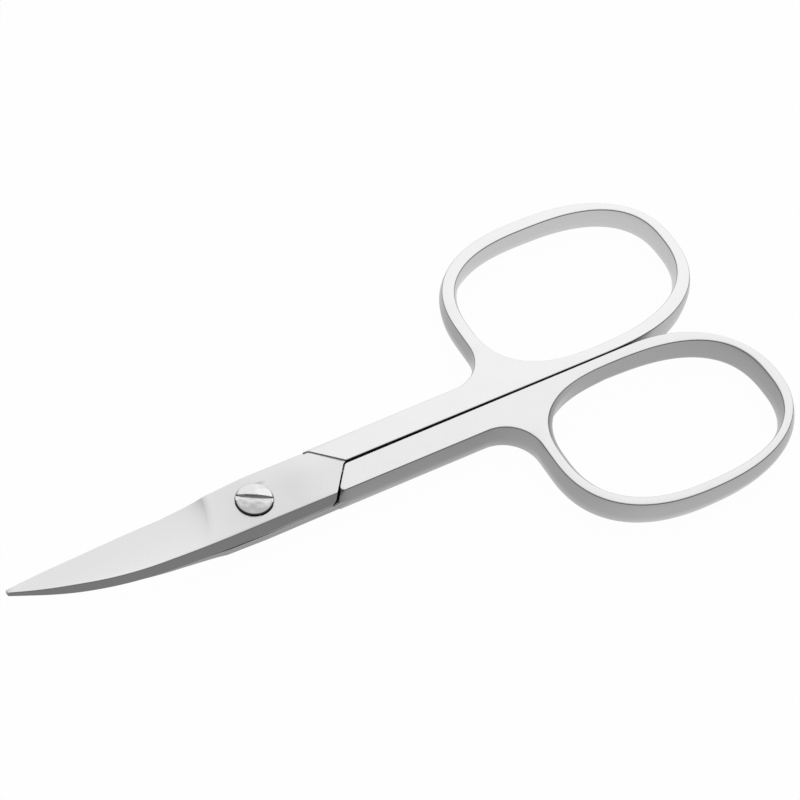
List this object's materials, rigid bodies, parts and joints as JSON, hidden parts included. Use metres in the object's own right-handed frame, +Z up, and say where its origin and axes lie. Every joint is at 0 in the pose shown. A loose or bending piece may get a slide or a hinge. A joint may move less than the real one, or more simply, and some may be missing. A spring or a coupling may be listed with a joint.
{
  "type": "nail scissors",
  "caption": "Curved nail scissors: two crossed steel halves with upturned blades and oval finger rings, turning on a slotted pivot screw.",
  "frame": {"origin": "on the surface that the scissors rest on, below the middle of their length, on the line between the two shanks", "axes": "+X from the blade tips towards the finger rings, +Z up, the side to which the blades curve, +Y towards the ring of the upper half"},
  "size_m": [0.09, 0.043, 0.0059],
  "materials": {
    "satin_steel": "satin",
    "screw_steel": "polished"
  },
  "bodies": {
    "lower_half": {"lower_half": "satin_steel", "pivot_screw": "screw_steel"},
    "upper_half": {"upper_half": "satin_steel"}
  },
  "joints": [
    {"name": "blade_pivot", "type": "hinge", "parent": "lower_half", "child": "upper_half", "pos_m": [-0.0162, 0, 0.0018], "axis": [0, 0, 1], "range_deg": [0, 130]}
  ]
}
